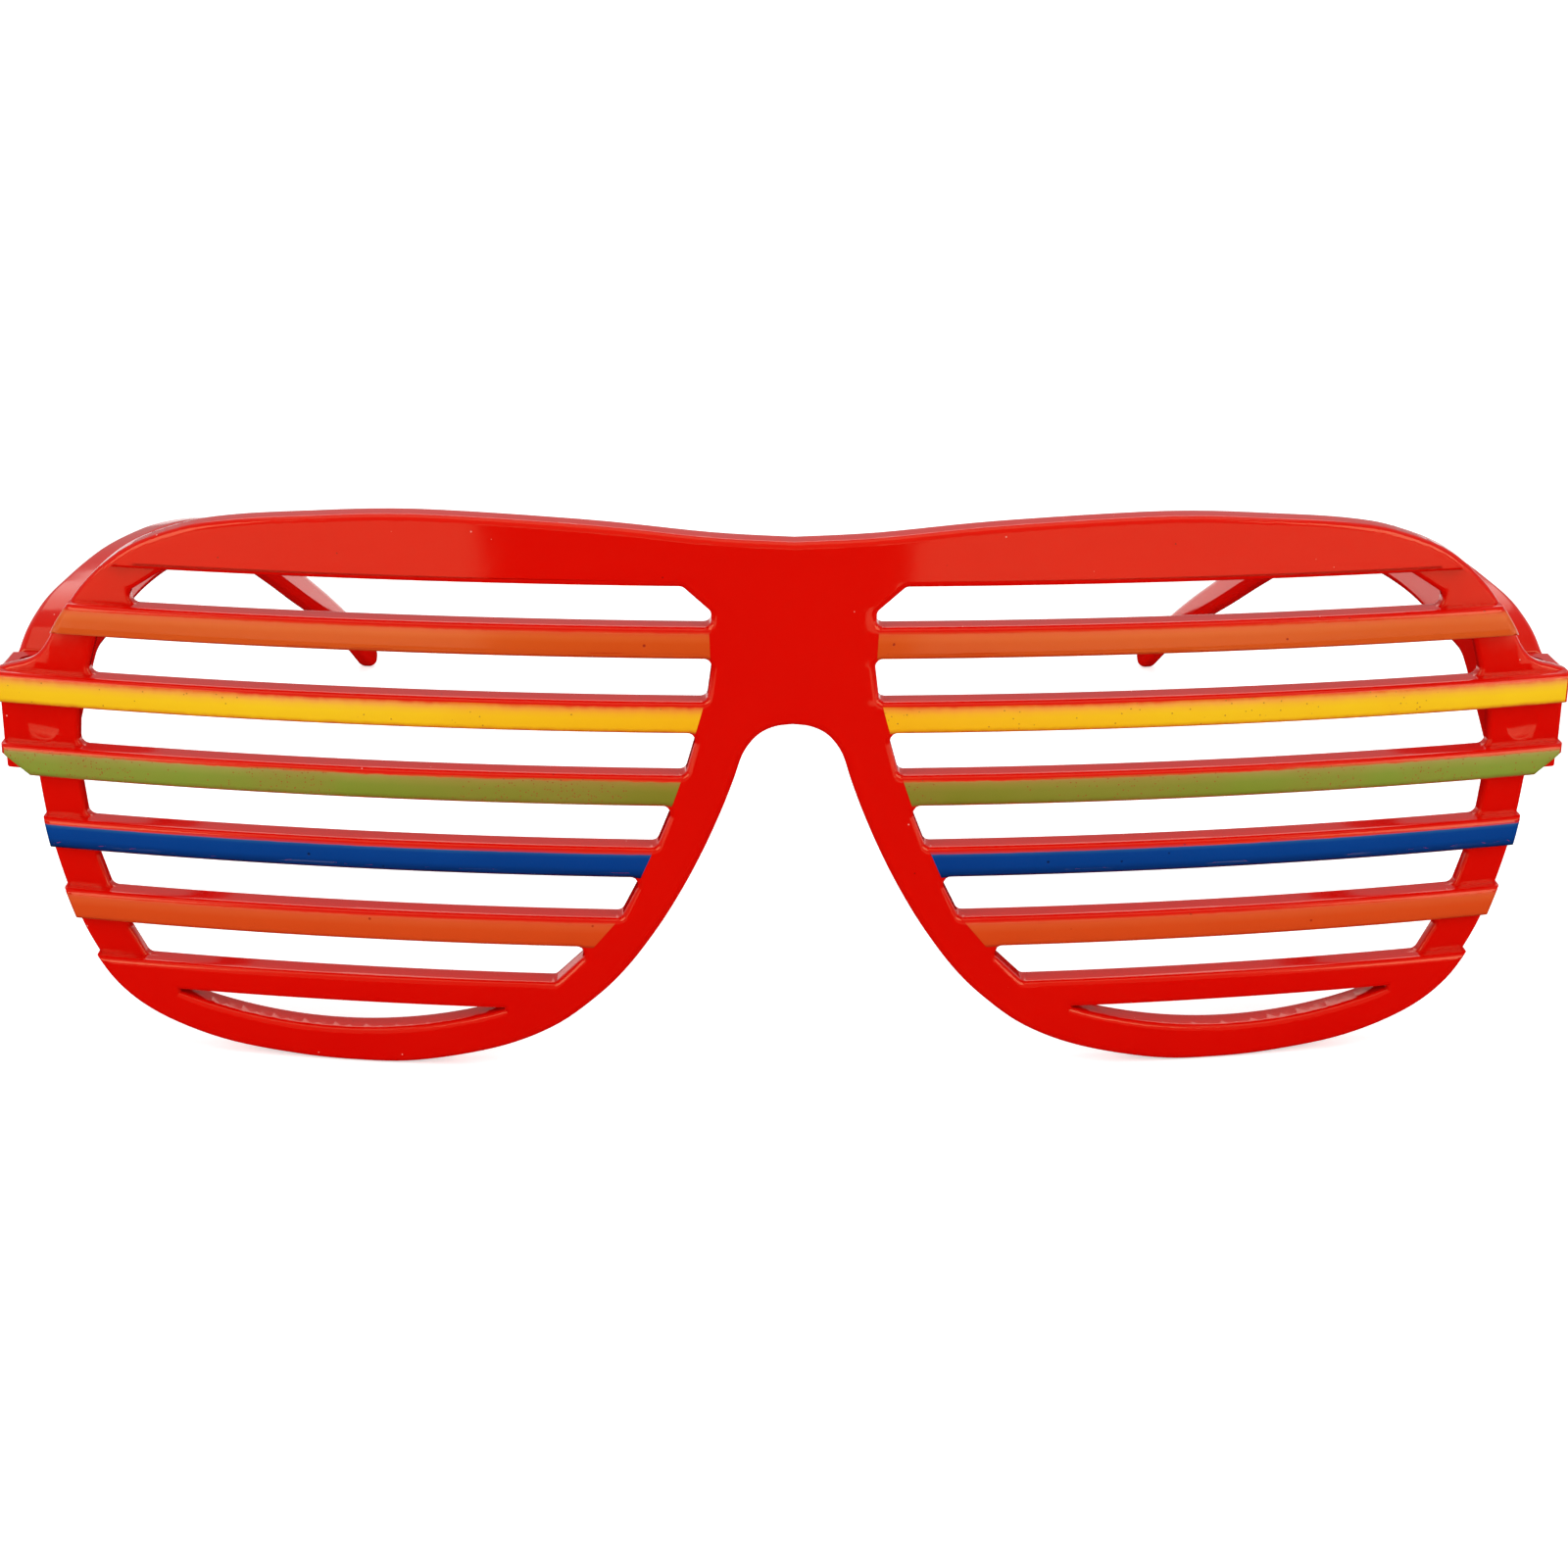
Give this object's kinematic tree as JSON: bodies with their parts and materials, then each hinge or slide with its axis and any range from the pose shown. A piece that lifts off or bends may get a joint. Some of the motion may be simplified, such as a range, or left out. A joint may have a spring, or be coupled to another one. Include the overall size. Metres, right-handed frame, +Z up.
{
  "type": "slatted novelty glasses",
  "caption": "Party glasses with a wrapped one-piece front, painted horizontal slats in place of lenses, and two folding temples on screwed hinges.",
  "frame": {"origin": "middle of the footprint of the whole object, on the surface that the lower rims and the temple tips rest on", "axes": "+Z up, +X towards the wearer's left, which is the right of the picture, -Y the way the front faces"},
  "size_m": [0.1488, 0.1374, 0.0538],
  "materials": {
    "red_moulding": "gloss injection-moulded polystyrene",
    "screw_steel": "plain steel, turned head",
    "paint_orange_upper": "thin orange paint",
    "paint_yellow": "thin yellow paint",
    "paint_green": "thin green paint",
    "paint_blue": "thin blue paint",
    "paint_orange_lower": "thin orange paint"
  },
  "bodies": {
    "front": {"front_frame": "red_moulding", "hinge_screw_left": "screw_steel", "hinge_screw_right": "screw_steel", "stripe_orange_upper_left": "paint_orange_upper", "stripe_yellow_left": "paint_yellow", "stripe_green_left": "paint_green", "stripe_blue_left": "paint_blue", "stripe_orange_lower_left": "paint_orange_lower", "stripe_orange_upper_right": "paint_orange_upper", "stripe_yellow_right": "paint_yellow", "stripe_green_right": "paint_green", "stripe_blue_right": "paint_blue", "stripe_orange_lower_right": "paint_orange_lower"},
    "temple_left": {"temple_left": "red_moulding"},
    "temple_right": {"temple_right": "red_moulding"}
  },
  "joints": [
    {"name": "temple_left_fold", "type": "hinge", "parent": "front", "child": "temple_left", "pos_m": [0.0719, -0.05428, 0.0319], "axis": [0, 0, 1], "range_deg": [0, 82]},
    {"name": "temple_right_fold", "type": "hinge", "parent": "front", "child": "temple_right", "pos_m": [-0.0719, -0.05428, 0.0319], "axis": [0, 0, -1], "range_deg": [0, 77]}
  ]
}
